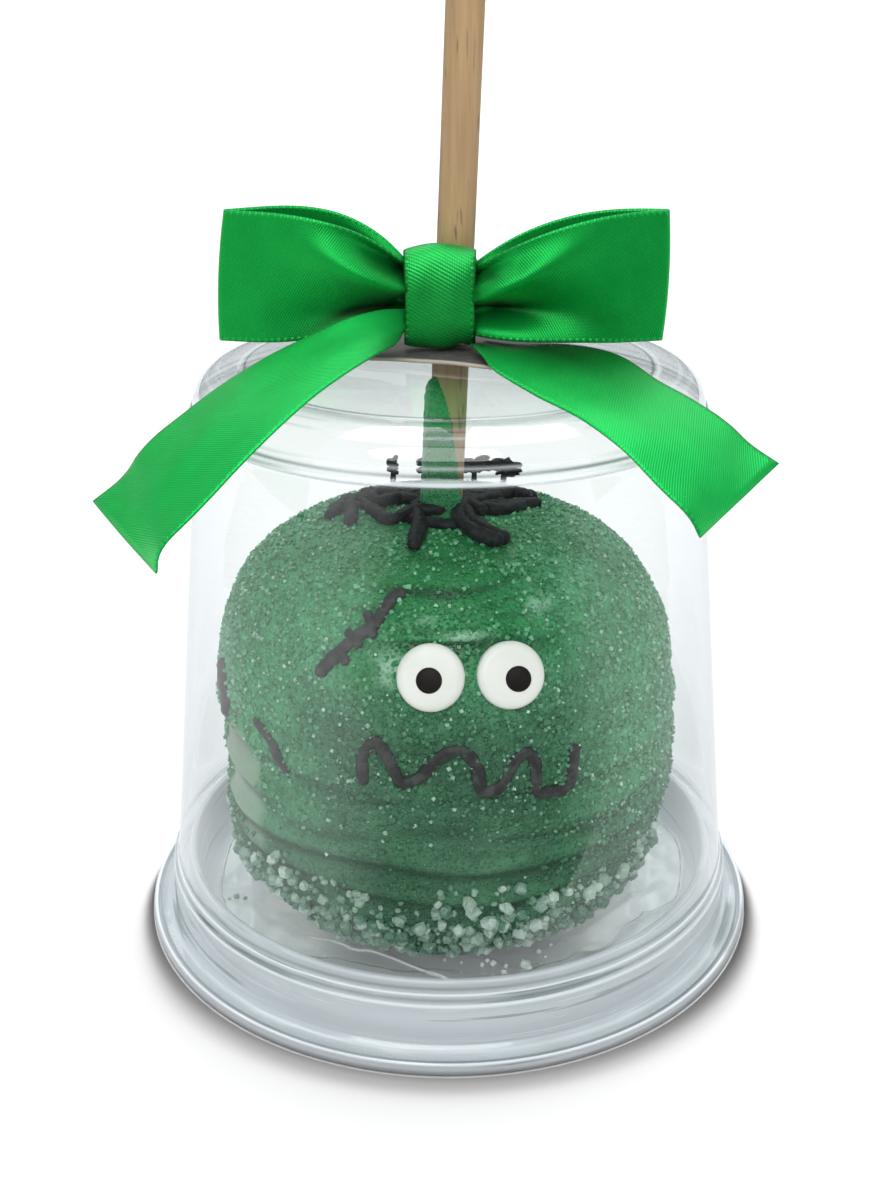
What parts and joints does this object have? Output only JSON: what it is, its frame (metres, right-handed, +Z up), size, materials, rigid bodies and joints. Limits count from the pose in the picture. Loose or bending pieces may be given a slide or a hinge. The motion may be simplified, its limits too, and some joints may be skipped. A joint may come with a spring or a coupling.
{
  "type": "candy apple in gift pack",
  "caption": "Sugared green candy apple with candy eyes on a wooden stick, shut in a clear dome on a round clear base, with a satin bow tied to the stick.",
  "frame": {"origin": "on the pack's axis, on the surface that the base stands on", "axes": "+Z up along the pack's axis, -Y towards the candy eyes and the bow's knot"},
  "size_m": [0.108, 0.108, 0.171],
  "materials": {
    "clear_plastic": "clear, glossy",
    "clear_film": "clear, creased",
    "candy_coating": "green candy coating with sugar",
    "white_candy": "pressed candy, satin, with a dark dot",
    "wood": "plain turned wood",
    "grey_card": "dark grey card, matt",
    "green_satin": "woven satin ribbon"
  },
  "bodies": {
    "root": {"base_tray": "clear_plastic", "dome": "clear_plastic", "film_sheet": "clear_film", "apple": "candy_coating", "candy_eye_left": "white_candy", "candy_eye_right": "white_candy", "stick": "wood", "card_square": "grey_card", "ribbon_knot": "green_satin", "ribbon_loop_left": "green_satin", "ribbon_loop_right": "green_satin", "ribbon_tail_left": "green_satin", "ribbon_tail_right": "green_satin"}
  },
  "joints": []
}
